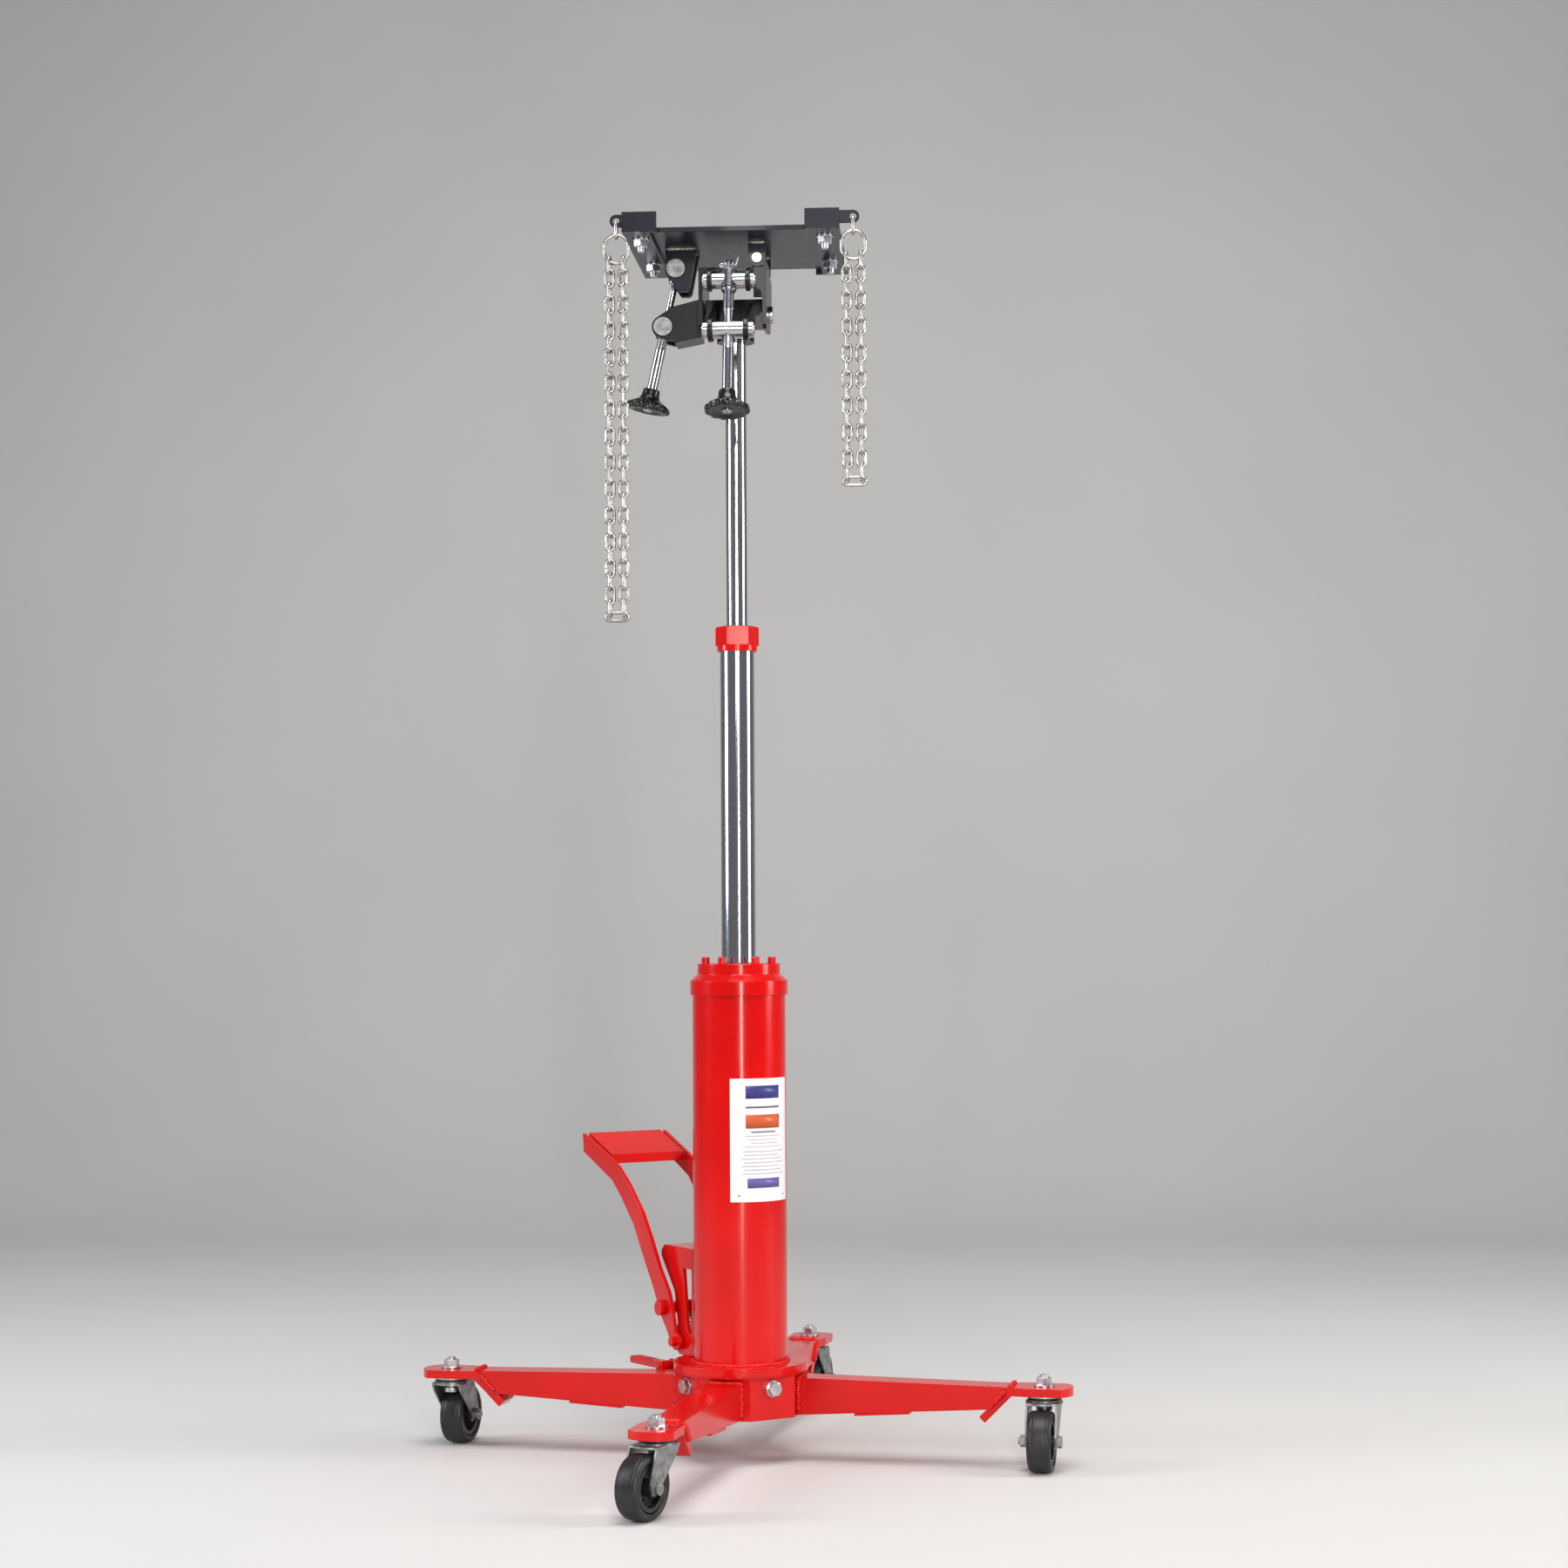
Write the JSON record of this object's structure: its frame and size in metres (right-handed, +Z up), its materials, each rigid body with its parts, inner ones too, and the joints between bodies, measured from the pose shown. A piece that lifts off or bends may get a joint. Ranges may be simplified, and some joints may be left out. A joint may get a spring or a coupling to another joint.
{
  "type": "transmission jack",
  "caption": "Vertical two-stage hydraulic transmission jack on a castered four-legged base, with a foot pump, chromed rams, a tilting table and hanging tie-down chains",
  "frame": {"origin": "on the floor under the axis of the column", "axes": "+Z up, +X towards the right end of the table, -Y towards its front, where the fore-and-aft hand wheel is"},
  "size_m": [0.8308, 0.8914, 1.552],
  "materials": {
    "red_paint": "glossy",
    "black_paint": "semi-gloss",
    "navy_paint": "semi-gloss",
    "hard_chrome": "ground and polished",
    "zinc_plate": "bright zinc",
    "plain_steel": "machined",
    "rubber_tyre": "satin",
    "seal_rubber": "satin",
    "black_plastic": "satin",
    "label_film": "printed film"
  },
  "bodies": {
    "base": {"base_hub": "red_paint", "leg_right": "red_paint", "leg_back": "red_paint", "leg_left": "red_paint", "leg_front": "red_paint", "foot_plates": "red_paint", "caster_studs": "zinc_plate", "hub_bolts": "zinc_plate", "reservoir_tube": "red_paint", "oil_plug": "black_paint", "pressure_cylinder": "plain_steel", "column_cap": "red_paint", "cap_screws": "red_paint", "lower_wiper": "seal_rubber", "name_plate": "label_film", "pedal_bracket": "red_paint", "pump_body": "red_paint", "release_bracket": "red_paint"},
    "lower_ram_body": {"lower_ram": "hard_chrome", "lower_piston": "plain_steel", "gland_nut": "red_paint", "upper_wiper": "seal_rubber"},
    "upper_ram_body": {"upper_ram": "hard_chrome", "upper_piston": "plain_steel"},
    "head": {"ram_head": "black_paint"},
    "frame": {"tilt_frame": "black_paint", "tilt_pin": "zinc_plate", "table_pin": "zinc_plate"},
    "table": {"table_plate": "navy_paint", "corner_arms": "navy_paint", "table_bolts": "zinc_plate"},
    "front_hanger": {"front_upper_trunnion": "zinc_plate"},
    "front_adjuster": {"front_screw": "zinc_plate", "castle_nut": "zinc_plate", "front_knob": "black_plastic"},
    "front_nut": {"front_lower_trunnion": "zinc_plate"},
    "side_hanger": {"side_upper_trunnion": "zinc_plate"},
    "side_adjuster": {"side_screw": "zinc_plate", "side_knob": "black_plastic"},
    "side_nut": {"side_lower_trunnion": "zinc_plate"},
    "chain_left_body": {"chain_left": "zinc_plate"},
    "chain_right_body": {"chain_right": "zinc_plate"},
    "pedal": {"pedal_frame": "red_paint", "pedal_pins": "red_paint"},
    "plunger": {"pump_plunger": "plain_steel", "pump_spring": "zinc_plate"},
    "release": {"release_pedal": "red_paint"},
    "caster_right": {"caster_fork_right": "zinc_plate"},
    "wheel_right": {"caster_wheel_right": "black_plastic", "caster_tyre_right": "rubber_tyre"},
    "caster_back": {"caster_fork_back": "zinc_plate"},
    "wheel_back": {"caster_wheel_back": "black_plastic", "caster_tyre_back": "rubber_tyre"},
    "caster_left": {"caster_fork_left": "zinc_plate"},
    "wheel_left": {"caster_wheel_left": "black_plastic", "caster_tyre_left": "rubber_tyre"},
    "caster_front": {"caster_fork_front": "zinc_plate"},
    "wheel_front": {"caster_wheel_front": "black_plastic", "caster_tyre_front": "rubber_tyre"}
  },
  "joints": [
    {"name": "lower_ram_slide", "type": "slide", "parent": "base", "child": "lower_ram_body", "axis": [0, 0, 1], "range_m": [-0.37, 0]},
    {"name": "upper_ram_slide", "type": "slide", "parent": "lower_ram_body", "child": "upper_ram_body", "axis": [0, 0, 1], "range_m": [-0.335, 0]},
    {"name": "head_swivel", "type": "hinge", "parent": "upper_ram_body", "child": "head", "pos_m": [0, 0, 1.414], "axis": [0, 0, 1], "continuous": true},
    {"name": "fore_aft_tilt", "type": "hinge", "parent": "head", "child": "frame", "pos_m": [0, 0, 1.448], "axis": [1, 0, 0], "range_deg": [-7, 7]},
    {"name": "side_tilt", "type": "hinge", "parent": "frame", "child": "table", "pos_m": [0.0314, 0, 1.5116], "axis": [0, 1, 0], "range_deg": [-5, 5]},
    {"name": "front_hanger_swing", "type": "hinge", "parent": "frame", "child": "front_hanger", "pos_m": [0, -0.1, 1.4726], "axis": [1, 0, 0], "range_deg": [-6.9, 6.9]},
    {"name": "front_screw_spin", "type": "hinge", "parent": "front_hanger", "child": "front_adjuster", "pos_m": [0, -0.1, 1.4726], "axis": [0, 0.2096, 0.9778], "range_deg": [-1815, 1815]},
    {"name": "front_nut_swing", "type": "hinge", "parent": "head", "child": "front_nut", "pos_m": [0, -0.114, 1.4073], "axis": [1, 0, 0], "range_deg": [-1, 1]},
    {"name": "side_hanger_swing", "type": "hinge", "parent": "table", "child": "side_hanger", "pos_m": [-0.0745, 0, 1.506], "axis": [0, 1, 0], "range_deg": [-7, 7]},
    {"name": "side_screw_spin", "type": "hinge", "parent": "side_hanger", "child": "side_adjuster", "pos_m": [-0.0745, 0, 1.506], "axis": [0.2162, 0, 0.9763], "range_deg": [-1610, 1610]},
    {"name": "side_nut_swing", "type": "hinge", "parent": "frame", "child": "side_nut", "pos_m": [-0.091, 0, 1.4315], "axis": [0, 1, 0], "range_deg": [-2, 2]},
    {"name": "chain_left_swing", "type": "hinge", "parent": "table", "child": "chain_left_body", "pos_m": [-0.137, -0.136, 1.5403], "axis": [1, 0, 0], "range_deg": [-6, 6]},
    {"name": "chain_right_swing", "type": "hinge", "parent": "table", "child": "chain_right_body", "pos_m": [0.157, -0.136, 1.5403], "axis": [1, 0, 0], "range_deg": [-6, 6]},
    {"name": "pedal_hinge", "type": "hinge", "parent": "base", "child": "pedal", "pos_m": [-0.049, 0.06946, 0.138], "axis": [-0.8171, -0.5764, 0], "range_deg": [0, 25], "stiffness_Nm_per_rad": 9, "springref_deg": -22.92},
    {"name": "plunger_slide", "type": "slide", "parent": "base", "child": "plunger", "axis": [0, 0, -1], "range_m": [0, 0.0153], "deforming": ["pump_spring"]},
    {"name": "release_hinge", "type": "hinge", "parent": "base", "child": "release", "pos_m": [-0.06225, 0.08825, 0.105], "axis": [-0.8171, -0.5764, 0], "range_deg": [0, 10], "stiffness_Nm_per_rad": 1, "springref_deg": -17.19},
    {"name": "caster_swivel_right", "type": "hinge", "parent": "base", "child": "caster_right", "pos_m": [0.37938, -0.06553, 0.085], "axis": [0, 0, 1], "continuous": true},
    {"name": "wheel_spin_right", "type": "hinge", "parent": "caster_right", "child": "wheel_right", "pos_m": [0.37495, -0.0952, 0.0375], "axis": [0.989, -0.1478, 0], "continuous": true},
    {"name": "caster_swivel_back", "type": "hinge", "parent": "base", "child": "caster_back", "pos_m": [0.06553, 0.37938, 0.085], "axis": [0, 0, 1], "continuous": true},
    {"name": "wheel_spin_back", "type": "hinge", "parent": "caster_back", "child": "wheel_back", "pos_m": [0.07228, 0.40861, 0.0375], "axis": [-0.9744, 0.225, 0], "continuous": true},
    {"name": "caster_swivel_left", "type": "hinge", "parent": "base", "child": "caster_left", "pos_m": [-0.37938, 0.06553, 0.085], "axis": [0, 0, 1], "continuous": true},
    {"name": "wheel_spin_left", "type": "hinge", "parent": "caster_left", "child": "wheel_left", "pos_m": [-0.37238, 0.0947, 0.0375], "axis": [-0.9724, 0.2334, 0], "continuous": true},
    {"name": "caster_swivel_front", "type": "hinge", "parent": "base", "child": "caster_front", "pos_m": [-0.06553, -0.37938, 0.085], "axis": [0, 0, 1], "continuous": true},
    {"name": "wheel_spin_front", "type": "hinge", "parent": "caster_front", "child": "wheel_front", "pos_m": [-0.07915, -0.40611, 0.0375], "axis": [0.891, -0.454, 0], "continuous": true}
  ],
  "couplings": [
    {"joint": "front_hanger_swing", "follows": "fore_aft_tilt", "ratio": -0.971},
    {"joint": "front_nut_swing", "follows": "fore_aft_tilt", "ratio": 0.029},
    {"joint": "front_screw_spin", "follows": "fore_aft_tilt", "ratio": 258.11},
    {"joint": "side_hanger_swing", "follows": "side_tilt", "ratio": -1.383},
    {"joint": "side_nut_swing", "follows": "side_tilt", "ratio": -0.383},
    {"joint": "side_screw_spin", "follows": "side_tilt", "ratio": 320.13},
    {"joint": "plunger_slide", "follows": "pedal_hinge", "m_per_rad": 0.03475}
  ]
}
